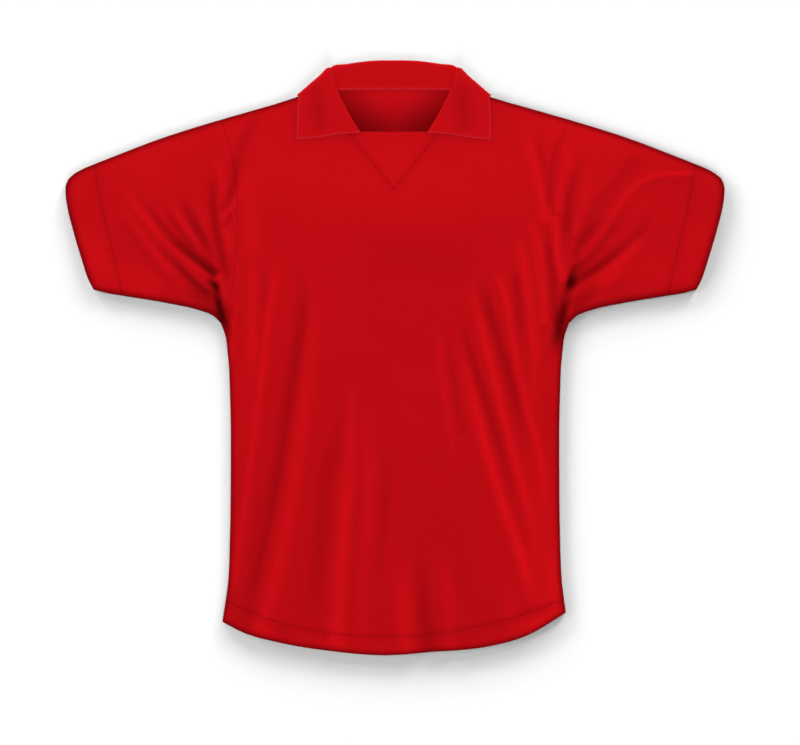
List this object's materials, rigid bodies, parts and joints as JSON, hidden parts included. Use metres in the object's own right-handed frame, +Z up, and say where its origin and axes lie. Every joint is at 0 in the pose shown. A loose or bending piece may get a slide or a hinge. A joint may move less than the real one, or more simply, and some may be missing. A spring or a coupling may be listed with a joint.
{
  "type": "football jersey",
  "caption": "Short-sleeved football jersey with a turned-down collar over a V insert and banded cuffs, laid flat with soft creases.",
  "frame": {"origin": "on the surface that the jersey lies on, under the middle of its overall width and length", "axes": "+X across the shoulders to the right of someone looking down at the front, +Y from hem to collar, +Z up from the surface"},
  "size_m": [0.877, 0.7921, 0.0116],
  "materials": {
    "front_cloth": "matte knit with a slight sheen",
    "back_cloth": "matte knit with a slight sheen",
    "sleeve_left_cloth": "matte knit with a slight sheen",
    "sleeve_right_cloth": "matte knit with a slight sheen",
    "cuff_left_cloth": "matte knit with a slight sheen",
    "cuff_right_cloth": "matte knit with a slight sheen",
    "insert_cloth": "matte knit with a slight sheen",
    "collar_knit": "matte ribbed knit"
  },
  "bodies": {
    "root": {"front_panel": "front_cloth", "back_panel": "back_cloth", "sleeve_left": "sleeve_left_cloth", "sleeve_right": "sleeve_right_cloth", "cuff_left": "cuff_left_cloth", "cuff_right": "cuff_right_cloth", "neck_insert": "insert_cloth", "collar": "collar_knit"}
  },
  "joints": []
}
